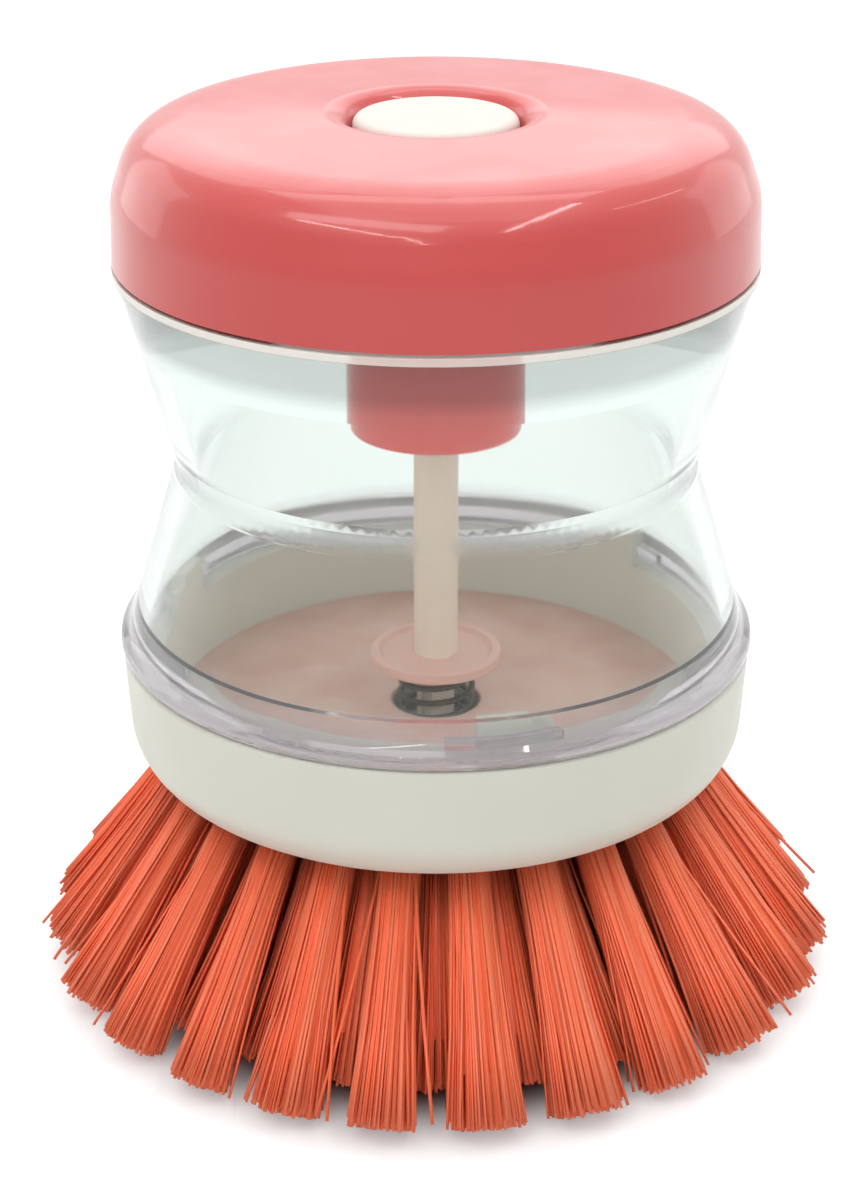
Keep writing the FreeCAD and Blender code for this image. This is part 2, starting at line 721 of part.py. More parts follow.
def make_tuft(name, frame, lean, tip, floor):
    """A bundle of bristles: straight in its hole, then flaring in strands to tips level with the floor."""
    length = (head_bottom - tip * lean.sine() + d.foot_trim_length) / lean.cosine()
    # The far side of a leaning hole's mouth lies this much further along the bristles
    mouth = hole_radius * lean.sine() / lean.cosine()
    root = doc.addObject("Part::Cylinder", f"{name}_root")
    bind(root, Radius=d.tuft_radius, Height=root_length + mouth)
    root.Placement = in_tuft(frame, 0, 0, -root_length.value)
    flare = doc.addObject("Part::Loft", f"{name}_flare")
    flare.Sections = [
        strand_outline(f"{name}_mouth", frame, d.tuft_radius, mouth),
        strand_outline(f"{name}_tips", frame, tip, length),
    ]
    flare.Solid = True
    flare.Ruled = True
    whole = doc.addObject("Part::Fuse", f"{name}_whole")
    whole.Base = root
    whole.Tool = flare
    slot = doc.addObject("Part::Box", f"{name}_slot")
    room = d.staple_gap * 2
    bind(slot, Length=d.tuft_radius * 4, Width=d.staple_thickness + room, Height=d.staple_height + room)
    across = (d.staple_thickness + room).value
    slot.Placement = in_tuft(frame, -2 * d.tuft_radius.value, -across / 2, -root_length.value)
    return cut_from(name, cut_from(f"{name}_slotted", whole, slot), floor)


def make_staple(name, frame):
    """A flat wire anchor across the inner end of one tuft."""
    staple = doc.addObject("Part::Box", name)
    bind(staple, Length=d.staple_width, Width=d.staple_thickness, Height=d.staple_height)
    half_width = d.staple_width.value / 2
    half_thickness = d.staple_thickness.value / 2
    staple.Placement = in_tuft(frame, -half_width, -half_thickness, -root_length.value)
    return staple


def group(name, pieces):
    """Separate solids under one name."""
    together = doc.addObject("Part::Compound", name)
    together.Links = pieces
    return together


def make_bristles():
    """Three rings of tufts, the middle ring as one group, and all the staples as another."""
    floor = doc.addObject("Part::Box", "floor_cut")
    side = (head_radius + d.bristle_height) * 4
    bind(floor, Length=side, Width=side, Height=d.cut_overrun)
    floor.Placement.Base = FreeCAD.Vector(-side.value / 2, -side.value / 2, -d.cut_overrun.value)
    tufts = {}
    staples = []
    for ring_name, (ring, turn, count, lean, tip) in TUFT_RINGS.items():
        for index in range(int(count.value)):
            name = f"{ring_name}_tuft_{index + 1:02d}"
            angle = (d.head_turn + turn).value + 360 * index / count.value
            frame = tuft_place(ring, lean, angle)
            tufts[name] = make_tuft(name, frame, lean, tip, floor)
            staples.append(make_staple(f"{name}_staple", frame))
    middle = [tufts.pop(name) for name in list(tufts) if name.startswith("middle")]
    groups = {"middle_tufts": group("middle_tufts", middle), "tuft_staples": group("tuft_staples", staples)}
    return {**tufts, **groups}


def make_cap_gasket():
    inner = neck_inner + d.cap_gasket_inset
    bottom = neck_top + d.cap_gasket_gap
    return ring_body("cap_gasket", inner, neck_radius, bottom, bottom + d.cap_gasket_thickness)


def make_head_gasket():
    inner = gasket_middle - d.head_gasket_width / 2
    outer = gasket_middle + d.head_gasket_width / 2
    return ring_body("head_gasket", inner, outer, head_top - d.head_gasket_thickness, head_top)


nodes = {
    "brush_plate": make_brush_plate(),
    "head_bowl": make_head_bowl(),
    "bottle": make_bottle(),
    "cap": make_cap(),
    "button": make_button(),
    "push_rod": make_push_rod(),
    "spring_cup": make_spring_cup(),
    "return_spring": make_return_spring(),
    "valve_seal": make_valve_seal(),
    "cap_gasket": make_cap_gasket(),
    "head_gasket": make_head_gasket(),
    **make_bristles(),
}
for name, node in nodes.items():
    node.Label = name
doc.recompute()

failed = [thing.Name for thing in doc.Objects if {"Invalid", "Error"} & set(thing.State)]
failed += [name for name, node in nodes.items() if node.Shape.isNull() or not node.Shape.isValid()]
if failed:
    raise RuntimeError("could not be built: " + ", ".join(failed))

os.makedirs("parts", exist_ok=True)
for name, node in nodes.items():
    node.Shape.exportStep(f"parts/{name}.step")
print(f"{len(nodes)} pieces written")
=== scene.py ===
# %% [markdown]
# # A dish brush that dispenses its own soap
#
# A round brush that fills the palm: a coral screw cap with a white push button, a clear hourglass
# bottle for the soap, a white brush head and coral nylon bristles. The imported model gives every
# solid at its real size and place. This lesson dresses it: finishes for the moulded pieces, a wound
# spring, real filaments in place of the plain tufts, and the light and camera of a product picture.

import math
import random

import bmesh
import bpy
from mathutils import Matrix, Vector


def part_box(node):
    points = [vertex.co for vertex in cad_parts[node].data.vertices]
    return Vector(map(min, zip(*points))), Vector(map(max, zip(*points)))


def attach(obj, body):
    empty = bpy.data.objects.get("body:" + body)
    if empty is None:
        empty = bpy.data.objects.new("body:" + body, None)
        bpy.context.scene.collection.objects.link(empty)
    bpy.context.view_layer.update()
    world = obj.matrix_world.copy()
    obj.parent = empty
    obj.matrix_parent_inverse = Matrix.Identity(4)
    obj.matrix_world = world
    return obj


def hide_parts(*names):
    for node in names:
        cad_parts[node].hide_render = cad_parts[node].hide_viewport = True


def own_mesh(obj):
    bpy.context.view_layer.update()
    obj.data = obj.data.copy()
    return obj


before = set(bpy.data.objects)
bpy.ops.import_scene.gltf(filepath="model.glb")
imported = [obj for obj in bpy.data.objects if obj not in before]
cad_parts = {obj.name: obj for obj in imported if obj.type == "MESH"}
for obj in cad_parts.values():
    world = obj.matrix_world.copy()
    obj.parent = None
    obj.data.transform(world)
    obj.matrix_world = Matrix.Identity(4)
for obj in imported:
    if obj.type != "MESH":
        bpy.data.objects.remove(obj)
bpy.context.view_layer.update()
scene = bpy.context.scene
MM = 0.001

# %% [markdown]
# ## The view
#
# The picture looks down on the brush at about 24 degrees, from a third of a metre away, through a
# long lens. A camera could be placed by trial, but here its focal length in pixels, its distance and
# its rise were worked out from the ellipses of the cap, rim and bristles. It aims at a point on the
# axis a little above the head's rim, and the lens shift slides the brush a few pixels to the right.

# %% Camera
IMAGE_SIZE = (862, 1200)
SENSOR_MM = 36.0
FOCAL_PX = 2700
CAMERA_DISTANCE = 309.5 * MM
CAMERA_RISE = math.radians(24.2)
AIM = Vector((0, 0, 43.8 * MM))
SIDE_PX = 5
NEAREST = 10 * MM

back = Vector((0, -math.cos(CAMERA_RISE), math.sin(CAMERA_RISE)))
lens = bpy.data.cameras.new("picture_camera")
lens.sensor_width = SENSOR_MM
lens.lens = FOCAL_PX / max(IMAGE_SIZE) * SENSOR_MM
lens.shift_x = -SIDE_PX / max(IMAGE_SIZE)
lens.clip_start = NEAREST
camera = bpy.data.objects.new("picture_camera", lens)
camera.location = AIM + back * CAMERA_DISTANCE
camera.rotation_euler = back.to_track_quat("Z", "Y").to_euler()
scene.collection.objects.link(camera)
scene.camera = camera
print("camera lens", round(lens.lens, 1), "mm, at", [round(c / MM, 1) for c in camera.location], "mm")

# %% [markdown]
# ## Nodes and colours
#
# Each finish is a small node tree. One function adds a node, sets its properties, and links or sets
# its inputs, and a few short ones name the steps that come up again and again. Colours are written as
# sRGB hex values, as one reads them off a sample, and turned to the linear values that shaders work
# with. Every pattern reads Object coordinates, which are metres here, so its scale is simply one over
# a real width.

# %% Helpers for nodes
# Places of a mix node's two inputs and its output, for numbers and for colours
MIX_SOCKETS = {"FLOAT": (2, 3, 0), "RGBA": (6, 7, 2)}


def add(tree, kind, inputs=None, **settings):
    made = tree.nodes.new(kind)
    for name, value in settings.items():
        setattr(made, name, value)
    for name, value in (inputs or {}).items():
        if isinstance(value, bpy.types.NodeSocket):
            tree.links.new(value, made.inputs[name])
        else:
            made.inputs[name].default_value = value
    return made


def reckon(tree, operation, *terms):
    """One step of arithmetic on sockets and numbers."""
    return add(tree, "ShaderNodeMath", dict(enumerate(terms)), operation=operation).outputs["Value"]


def ramp(tree, value, low, high, at_low=0.0, at_high=1.0, curve="LINEAR"):
    """Goes from one number to another while a value rises from low to high, and is level beyond."""
    ends = {"From Min": low, "From Max": high, "To Min": at_low, "To Max": at_high}
    made = add(tree, "ShaderNodeMapRange", {"Value": value, **ends}, interpolation_type=curve)
    return made.outputs["Result"]


def blend(tree, share, first, second, kind="RGBA"):
    """Goes from a first colour or number to a second as the share rises from none to one."""
    start, end, result = MIX_SOCKETS[kind]
    made = add(tree, "ShaderNodeMix", {0: share, start: first, end: second}, data_type=kind)
    return made.outputs[result]


def height_of(tree, place):
    return add(tree, "ShaderNodeSeparateXYZ", {"Vector": place}).outputs["Z"]


# %% Helpers for finishes
# A noise seldom leaves this range
NOISE_LOW = 0.35
NOISE_HIGH = 0.65


def linear(hex_colour):
    parts = [int(hex_colour[i:i + 2], 16) / 255 for i in (1, 3, 5)]
    return [p / 12.92 if p <= 0.04045 else ((p + 0.055) / 1.055) ** 2.4 for p in parts] + [1.0]


def new_finish(name, **sockets):
    """A material with its main shader, and the Object coordinates that its patterns read."""
    material = bpy.data.materials.new(name)
    material.use_nodes = True
    tree = material.node_tree
    shader = tree.nodes["Principled BSDF"]
    for socket, value in sockets.items():
        shader.inputs[socket.replace("_", " ")].default_value = value
    place = add(tree, "ShaderNodeTexCoord").outputs["Object"]
    return material, tree, shader, place


def noise(tree, place, width_mm, detail):
    made = add(tree, "ShaderNodeTexNoise", {"Vector": place, "Scale": 1 / (width_mm * MM), "Detail": detail})
    return made.outputs["Fac"]


def mottle(tree, place, blotch_mm, dark, light):
    """Two close colours in soft blotches about this wide, as melt leaves them in a mould."""
    return blend(tree, noise(tree, place, blotch_mm, detail=3), linear(dark), linear(light))


def grain(tree, shader, place, width_mm, depth_mm):
    """The fine relief of the mould's face, as a bump this wide and deep."""
    relief = noise(tree, place, width_mm, detail=2)
    bump = add(tree, "ShaderNodeBump", {"Height": relief, "Distance": depth_mm * MM})
    tree.links.new(bump.outputs["Normal"], shader.inputs["Normal"])


def uneven_gloss(tree, shader, place, patch_mm, smooth, rough):
    """Roughness that drifts between two values over patches about this wide."""
    patch = noise(tree, place, patch_mm, detail=4)
    value = ramp(tree, patch, NOISE_LOW, NOISE_HIGH, smooth, rough)
    tree.links.new(value, shader.inputs["Roughness"])
    return value


def mottled_finish(name, colours, gloss, relief=None, **sockets):
    """A whole finish of the commonest kind: blotched colour, patchy gloss and maybe a fine relief."""
    material, tree, shader, place = new_finish(name, **sockets)
    tree.links.new(mottle(tree, place, **colours), shader.inputs["Base Color"])
    uneven_gloss(tree, shader, place, **gloss)
    if relief:
        grain(tree, shader, place, **relief)
    return material


def dress(material, *nodes):
    """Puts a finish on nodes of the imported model."""
    for node in nodes:
        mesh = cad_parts[node].data
        mesh.materials.clear()
        mesh.materials.append(material)
    print(material.name, "on", ", ".join(nodes))


# %% [markdown]
# ## Coral cap
#
# The cap is injection-moulded ABS: a saturated coral that goes pale where the light glances off its
# crown. The solid's shape is right, so it stays and gets a finish. Polished ABS has two glosses at
# once, a soft haze from the resin and a crisp skin from the mould, so the shader's own gloss is rough
# and a thin coat over it is sharp. A little sheen stands for fine dust and wear, which pale a surface
# that is seen aslant. The part of the cap that hangs down inside the bottle is painted a brighter
# coral than the skirt: painted light that makes up for the shade it stands in under the cap. The
# colour drifts very slightly, the haze is uneven where hands have rubbed it, and a shallow relief,
# drawn a little coarser than the real one so that it shows, breaks up the reflections.

# %% Moulded coral ABS
ABS_IOR = 1.53
# Painted light: the part of the cap inside the bottle gets this brighter coral for the shade it stands in
BOSS_PAINTED_LIGHT_COLOUR = "#f04a42"
PAINTED_LIGHT_TOP = 80 * MM
PAINTED_LIGHT_BORDER = 2 * MM

coral_abs, tree, shader, place = new_finish(
    "polished_moulded_coral_abs", IOR=ABS_IOR, Coat_Weight=0.6, Coat_Roughness=0.1,
    Coat_IOR=1.5, Sheen_Weight=0.32, Sheen_Roughness=0.35, Sheen_Tint=linear("#ffe2da"))
# Below this height the coral is the painted light of the part inside the bottle, above it the skirt's own
# colour
thick = ramp(tree, height_of(tree, place), PAINTED_LIGHT_TOP - PAINTED_LIGHT_BORDER, PAINTED_LIGHT_TOP + PAINTED_LIGHT_BORDER)
skirt = mottle(tree, place, blotch_mm=12, dark="#bf3532", light="#c63d39")
tree.links.new(blend(tree, thick, linear(BOSS_PAINTED_LIGHT_COLOUR), skirt), shader.inputs["Base Color"])
uneven_gloss(tree, shader, place, patch_mm=9, smooth=0.4, rough=0.5)
grain(tree, shader, place, width_mm=0.9, depth_mm=0.003)
dress(coral_abs, "cap")

# %% [markdown]
# ## White button
#
# The button is ABS too, but spark-eroded in the mould, so it is matt and catches no streaks. A fine
# grain and a high roughness give that; its specular level is low so that it doesn't glare.

# %% Spark-eroded white ABS
white_abs = mottled_finish(
    "matt_moulded_white_abs", IOR=ABS_IOR, Specular_IOR_Level=0.3,
    colours=dict(blotch_mm=5, dark="#d9cfc7", light="#dfd6cf"),
    gloss=dict(patch_mm=4, smooth=0.5, rough=0.62),
    relief=dict(width_mm=0.4, depth_mm=0.015))
dress(white_abs, "button")

# %% [markdown]
# ## Clear bottle
#
# The bottle is clear styrene-acrylonitrile, a little grey in the depth of its walls. A tint on the
# surface colours thin and thick walls alike, so the grey comes from absorption inside the solid: the
# long way through an edge is darker than the short way through a wall, which draws the bottle's
# outline against white. Slight tints by height do the rest: the thick foot is clouded; the wall just
# under the cap and inside it is painted grey, painted shade for the dark that the cap casts there; and
# the flange that the cap's skirt meets is painted cream and less clear, a painted highlight where it
# catches the light. Faint scuffs from washing dull the gloss in patches, and the waist, where two
# halves of the mould meet, is less polished than the rest.

# %% Clear styrene-acrylonitrile, in zones by height
# The foot's colour and clearness
FIRST_ZONE = ("#dcd5d9", 0.76)
# Height where each further zone begins, half the width of its border, colour and clearness
ZONES = (
    (43.8 * MM, 2.4 * MM, "#f3f8f6", 1.0),
    # Painted shade: grey for the dark that the cap casts on the wall under it
    (79.0 * MM, 1.0 * MM, "#ced2d0", 1.0),
    # Painted highlight: a cream, less clear line where the flange catches the light
    (84.15 * MM, 0.1 * MM, "#f4ece4", 0.35),
    # Painted shade again: the same grey on the wall inside the cap
    (85.1 * MM, 0.1 * MM, "#ced2d0", 1.0),
)

clear_san, tree, shader, place = new_finish("clear_moulded_styrene", IOR=1.45, Specular_IOR_Level=0.12)
height = height_of(tree, place)
colour, clearness = linear(FIRST_ZONE[0]), FIRST_ZONE[1]
for start, border, zone_colour, zone_clearness in ZONES:
    zone = ramp(tree, height, start - border, start + border)
    colour = blend(tree, zone, colour, linear(zone_colour))
    clearness = blend(tree, zone, clearness, zone_clearness, kind="FLOAT")
tree.links.new(colour, shader.inputs["Base Color"])
tree.links.new(clearness, shader.inputs["Transmission Weight"])
dress(clear_san, "bottle")

# %% Its scuffs, dull waist and grey depth
CLEAR_TINT = "#d0d7d5"
CLEAR_DENSITY = 65
WAIST_HEIGHT = 62.4 * MM
WAIST_REACH = 2.8 * MM
WAIST_ROUGHNESS = 0.2

polish = uneven_gloss(tree, shader, place, patch_mm=7, smooth=0.03, rough=0.07)
off_waist = reckon(tree, "ABSOLUTE", reckon(tree, "SUBTRACT", height, WAIST_HEIGHT))
dull = ramp(tree, off_waist, 0.0, WAIST_REACH, WAIST_ROUGHNESS, 0.0, curve="SMOOTHSTEP")
tree.links.new(reckon(tree, "MAXIMUM", polish, dull), shader.inputs["Roughness"])
depth = add(tree, "ShaderNodeVolumeAbsorption", {"Color": linear(CLEAR_TINT), "Density": CLEAR_DENSITY})
tree.links.new(depth.outputs["Volume"], tree.nodes["Material Output"].inputs["Volume"])
print("waist dull for", WAIST_REACH / MM, "mm above and below", WAIST_HEIGHT / MM, "mm")

# %% [markdown]
# ## Rod and spring cup
#
# The push rod and the cup that rides on it are uncoloured polypropylene: off-white, a little pink in
# this coral company, with a soft satin face.

# %% Natural polypropylene
POLYPROPYLENE_IOR = 1.49
SATIN = dict(patch_mm=3, smooth=0.38, rough=0.5)
SATIN_RELIEF = dict(width_mm=0.5, depth_mm=0.01)

natural_pp = mottled_finish(
    "natural_polypropylene", IOR=POLYPROPYLENE_IOR, gloss=SATIN, relief=SATIN_RELIEF,
    colours=dict(blotch_mm=4, dark="#e6d0bf", light="#ecd8c9"))
dress(natural_pp, "push_rod")
blush_pp = mottled_finish(
    "blushed_polypropylene", IOR=POLYPROPYLENE_IOR, gloss=SATIN, relief=SATIN_RELIEF,
    colours=dict(blotch_mm=3, dark="#e4b3a5", light="#e9bdb0"))
dress(blush_pp, "spring_cup")

# %% [markdown]
# ## White brush head
#
# The head is white polypropylene, two mouldings welded at the level of its floor. The wall is plain.
# The plate's floor is thin over the tuft holes, so the coral roots blush it in broad soft patches,
# which a slow noise gives. The floor is told from the rest of the plate by its height and radius.

# %% White polypropylene wall
HEAD_COLOURS = dict(blotch_mm=9, dark="#d4d5c8", light="#dadace")
HEAD_GLOSS = dict(patch_mm=8, smooth=0.36, rough=0.48)
HEAD_RELIEF = dict(width_mm=0.7, depth_mm=0.012)

white_pp = mottled_finish(
    "white_polypropylene", IOR=POLYPROPYLENE_IOR,
    colours=HEAD_COLOURS, gloss=HEAD_GLOSS, relief=HEAD_RELIEF)
dress(white_pp, "head_bowl")

# %% Drilled plate with roots showing through
FLOOR_HEIGHT = 31.5 * MM
FLOOR_LIP = 0.3 * MM
BOWL_RADIUS = 30.7 * MM
LEVEL = (1, 1, 0)

rooted_pp, tree, shader, place = new_finish("thin_white_polypropylene_over_roots", IOR=POLYPROPYLENE_IOR)
flat = add(tree, "ShaderNodeVectorMath", {0: place, 1: LEVEL}, operation="MULTIPLY")
radius = add(tree, "ShaderNodeVectorMath", {0: flat.outputs["Vector"]}, operation="LENGTH")
above = reckon(tree, "GREATER_THAN", height_of(tree, place), FLOOR_HEIGHT - FLOOR_LIP)
within = reckon(tree, "LESS_THAN", radius.outputs["Value"], BOWL_RADIUS)
plain = mottle(tree, place, **HEAD_COLOURS)
blush = mottle(tree, place, blotch_mm=6, dark="#d29c89", light="#edcec1")
whole = blend(tree, reckon(tree, "MINIMUM", above, within), plain, blush)
tree.links.new(whole, shader.inputs["Base Color"])
uneven_gloss(tree, shader, place, **HEAD_GLOSS)
grain(tree, shader, place, **HEAD_RELIEF)
dress(rooted_pp, "brush_plate")

# %% [markdown]
# ## Seals and staples
#
# The valve seal and the two gaskets are cast silicone, soft and nearly white. The staples that pin
# the tufts are flat galvanised wire; only their ends could ever show.

# %% Silicone and galvanised wire
silicone = mottled_finish(
    "cast_silicone", IOR=1.41, colours=dict(blotch_mm=3, dark="#ddd7ce", light="#e6e1d9"),
    gloss=dict(patch_mm=3, smooth=0.45, rough=0.6))
dress(silicone, "valve_seal", "cap_gasket", "head_gasket")
zinc_wire = mottled_finish(
    "galvanised_wire", Metallic=1.0, colours=dict(blotch_mm=0.8, dark="#a09a90", light="#c2bcb0"),
    gloss=dict(patch_mm=1, smooth=0.35, rough=0.55))
dress(zinc_wire, "tuft_staples")

# %% [markdown]
# ## Return spring
#
# A coil of dark drawn steel wire stands between the head's pocket and the cup. A screw modifier or
# a curve would do; here a ring of wire is spun about the axis with a rise at each step. The end
# coils rise little, so they lie flat, and the coils between them take up the rest of the height.

# %% Wound spring
WIRE_RADIUS = 0.35 * MM
WIRE_SIDES = 12
STEPS_PER_TURN = 36
END_TURNS = 0.75
OPEN_TURNS = 3.5
END_RISE = 0.62 * MM

spring_low, spring_high = (Vector(corner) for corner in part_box("return_spring"))
spring_height = spring_high.z - spring_low.z
coil_radius = (spring_high.x - spring_low.x) / 2 - WIRE_RADIUS
open_rise = spring_height - 2 * WIRE_RADIUS - 2 * END_RISE

bm = bmesh.new()
wire = bmesh.ops.create_circle(bm, segments=WIRE_SIDES, radius=WIRE_RADIUS)["verts"]
bmesh.ops.rotate(bm, verts=wire, matrix=Matrix.Rotation(math.pi / 2, 3, "X"))
bmesh.ops.translate(bm, verts=wire, vec=(coil_radius, 0, spring_low.z + WIRE_RADIUS))
last = list(bm.verts) + list(bm.edges)
for turns, rise in ((END_TURNS, END_RISE), (OPEN_TURNS, open_rise), (END_TURNS, END_RISE)):
    steps = round(turns * STEPS_PER_TURN)
    last = bmesh.ops.spin(
        bm, geom=last, axis=(0, 0, 1), cent=(0, 0, 0), dvec=(0, 0, rise / steps),
        angle=turns * math.tau, steps=steps)["geom_last"]
bmesh.ops.holes_fill(bm, edges=[edge for edge in bm.edges if edge.is_boundary], sides=WIRE_SIDES)
bmesh.ops.recalc_face_normals(bm, faces=bm.faces)
spring_mesh = bpy.data.meshes.new("wound_spring")
bm.to_mesh(spring_mesh)
bm.free()
spring_mesh.shade_smooth()
print("spring", len(spring_mesh.polygons), "faces, coil radius", round(coil_radius / MM, 2), "mm")

steel_wire = mottled_finish(
    "drawn_spring_steel", Metallic=1.0, colours=dict(blotch_mm=0.9, dark="#3f392f", light="#6b6353"),
    gloss=dict(patch_mm=1.5, smooth=0.28, rough=0.42))
spring_mesh.materials.append(steel_wire)
spring = bpy.data.objects.new("wound_spring", spring_mesh)
scene.collection.objects.link(spring)
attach(spring, "head")
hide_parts("return_spring")
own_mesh(spring)

# %% [markdown]
# ## Bristles
#
# Each tuft is a bundle of nylon filaments, folded into its hole and pinned, so it is tight at the
# root and spreads towards the tips like a trumpet. Hair particles would not export, so each filament
# is a thin three-sided rod, extruded from a circle in a few steps with a slight bow, and smooth
# shading makes it round. A sunflower pattern spreads the rods evenly over the tuft, and small random
# turns, lengths and strays keep them from looking combed. Towards the tips the rods gather in
# strands, as the solid tufts do, and a plain core inside them stands for the filaments that never
# show. A tone on each filament lets the finish vary from one to the next.

# %% Coral nylon
coral_nylon, tree, shader, _ = new_finish(
    "coral_nylon_filament", IOR=1.53, Roughness=0.42, Specular_IOR_Level=0.35)
tone = add(tree, "ShaderNodeAttribute", attribute_name="tone").outputs["Fac"]
tree.links.new(blend(tree, tone, linear("#fe7349"), linear("#ff8a65")), shader.inputs["Base Color"])
print(coral_nylon.name, "for the filaments")

# %% One filament
FILAMENT_SIDES = 3
FILAMENT_STEPS = 3
FILAMENT_RADIUS = 0.2 * MM
BOW_RADII = 6

bm = bmesh.new()
bmesh.ops.create_circle(bm, cap_ends=True, segments=FILAMENT_SIDES, radius=1)
face = next(iter(bm.faces))
for step in range(FILAMENT_STEPS):
    made = bmesh.ops.extrude_face_region(bm, geom=[face])["geom"]
    face = next(item for item in made if isinstance(item, bmesh.types.BMFace))
    start, end = step / FILAMENT_STEPS, (step + 1) / FILAMENT_STEPS
    bow = BOW_RADII * ((end ** 2 - end) - (start ** 2 - start))
    bmesh.ops.translate(bm, verts=list(face.verts), vec=(bow, 0, end - start))
bmesh.ops.recalc_face_normals(bm, faces=bm.faces)
filament = bpy.data.meshes.new("filament")
bm.to_mesh(filament)
bm.free()
print("one filament has", len(filament.polygons), "faces")

# %% Where each filament lies
FACE_HEIGHT_MM = 25.5
TRIM_MM = 0.5
ROOT_RADIUS = 2.0 * MM
ROOT_DEPTH = 2.0 * MM
FLOOR_GAP = 0.35 * MM
GOLDEN_TURN = math.pi * (3 - math.sqrt(5))
WANDER_MM = 0.2
STRAY_WANDER_MM = 1.7
STRAY_SHARE = 0.035
UNEVEN_ENDS_MM = (-0.9, 0.3)
UNEVEN_THICKNESS = (0.85, 1.12)
STRANDS = 7
GROOVE_SHARE = 0.2


def filament_matrix(index, count, place, reach_mm, tip, dice):
    """Lays one filament of the sunflower pattern from its root to its tip, and stops it at the floor."""
    share = math.sqrt((index + 0.5) / count)
    turn = index * GOLDEN_TURN
    outward = Vector((math.cos(turn), math.sin(turn), 0))
    strand = 1 - GROOVE_SHARE * (1 - math.cos(STRANDS * turn)) / 2
    root = outward * share * ROOT_RADIUS + Vector((0, 0, -ROOT_DEPTH))
    wander = STRAY_WANDER_MM if dice.random() < STRAY_SHARE else WANDER_MM
    stray = Vector((dice.gauss(0, wander), dice.gauss(0, wander), 0)) * MM
    height = (reach_mm + dice.uniform(*UNEVEN_ENDS_MM)) * MM
    end = outward * share * strand * tip + stray + Vector((0, 0, height))
    low, high = (place @ end).z, (place @ root).z
    if low < FLOOR_GAP:
        end = root + (end - root) * ((high - FLOOR_GAP) / (high - low))
    way = end - root
    along = way.normalized()
    bowed = (outward - along * outward.dot(along)).normalized()
    turned = Matrix((bowed, along.cross(bowed), along)).transposed().to_4x4()
    thick = FILAMENT_RADIUS * dice.uniform(*UNEVEN_THICKNESS)
    shape = Matrix.Diagonal((thick, thick, way.length, 1))
    return place @ Matrix.Translation(root) @ turned @ shape


# %% One tuft
CORE_SIDES = 20
CORE_ROOT_SHARE = 0.95
CORE_END_SHARE = 0.74
CORE_TONE = 0.2
CORE_LENGTH = 0.8


def tuft(name, place, ring, spread, dice):
    """Filaments round a core, from a root circle to a wider circle of tips along the place's Z."""
    bm = bmesh.new()
    tones = []
    reach_mm = (FACE_HEIGHT_MM - ring["tip_mm"] * math.sin(ring["lean"]) + TRIM_MM) / math.cos(ring["lean"])
    tip = ring["tip_mm"] * spread * MM
    for index in range(ring["filaments"]):
        one = filament.copy()
        one.transform(filament_matrix(index, ring["filaments"], place, reach_mm, tip, dice))
        bm.from_mesh(one)
        bpy.data.meshes.remove(one)
        tones += [dice.random()] * len(filament.vertices)
    depth = reach_mm * CORE_LENGTH * MM
    widest = ROOT_RADIUS + (tip - ROOT_RADIUS) * CORE_LENGTH
    core = bmesh.ops.create_cone(
        bm, cap_ends=True, segments=CORE_SIDES, radius1=ROOT_RADIUS * CORE_ROOT_SHARE,
        radius2=widest * CORE_END_SHARE, depth=depth, matrix=place @ Matrix.Translation((0, 0, depth / 2)))
    tones += [CORE_TONE] * len(core["verts"])
    mesh = bpy.data.meshes.new(name)
    bm.to_mesh(mesh)
    bm.free()
    mesh.attributes.new("tone", "FLOAT", "POINT").data.foreach_set("value", tones)
    mesh.shade_smooth()
    mesh.materials.append(coral_nylon)
    piece = bpy.data.objects.new(name, mesh)
    scene.collection.objects.link(piece)
    return piece


# %% [markdown]
# ## Three rings of tufts
#
# The holes lie on three rings, and the second is turned by half a step, so its tufts fill the gaps of
# the first. No two tufts of a real brush stand quite alike, so each gets its own small turn, lean and
# spread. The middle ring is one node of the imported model, and its tufts all stand for that node.

# %% Rings of tufts
FIRST_TURN = math.radians(-82.5)
RINGS = {
    "outer": dict(count=24, radius_mm=27.8, turn=0, lean=math.radians(33), tip_mm=3.8, filaments=420),
    "middle": dict(
        count=24, radius_mm=22.49, turn=math.pi / 24, lean=math.radians(29), tip_mm=4.2, filaments=260),
    "inner": dict(count=12, radius_mm=13.9, turn=0, lean=math.radians(15), tip_mm=4.8, filaments=200),
}
SPREADS = (0.92, 1.25)
TURN_JITTER = math.radians(1.0)
LEAN_JITTER = math.radians(1.2)
SEED = 7

dice = random.Random(SEED)
faces = 0
for ring_name, ring in RINGS.items():
    for index in range(ring["count"]):
        turn = FIRST_TURN + ring["turn"] + math.tau * index / ring["count"]
        turn += dice.uniform(-1, 1) * TURN_JITTER
        lean = ring["lean"] + dice.uniform(-1, 1) * LEAN_JITTER
        place = (
            Matrix.Rotation(turn, 4, "Z")
            @ Matrix.Translation((ring["radius_mm"] * MM, 0, FACE_HEIGHT_MM * MM))
            @ Matrix.Rotation(math.pi - lean, 4, "Y")
        )
        label = f"{ring_name}_tuft_{index + 1:02d}"
        piece = tuft(f"{label}_filaments", place, ring, dice.uniform(*SPREADS), dice)
        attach(piece, "head")
        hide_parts(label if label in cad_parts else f"{ring_name}_tufts")
        faces += len(piece.data.polygons)
bpy.data.meshes.remove(filament)
print("bristles have", faces, "faces")

# %% [markdown]
# ## Light
#
# The picture is lit from above and behind: the crown of the cap goes pale, the front of the skirt
# stays deep, and thin streaks lie along its shoulder. A white world at under half strength fills the
# shadows, two panels behind glance off the crown, a softbox overhead and one high in front light the
# bristles, a panel at each side lifts the flanks, and narrow strips make the streaks. Where the
# camera looks straight at the world, or sees it in gloss or glass, it is plain white, so the
# background shows clean through the bottle. Lamps can't shine through clear plastic here without
# specks, so the rays that light the inside of the bottle find a brighter world instead.

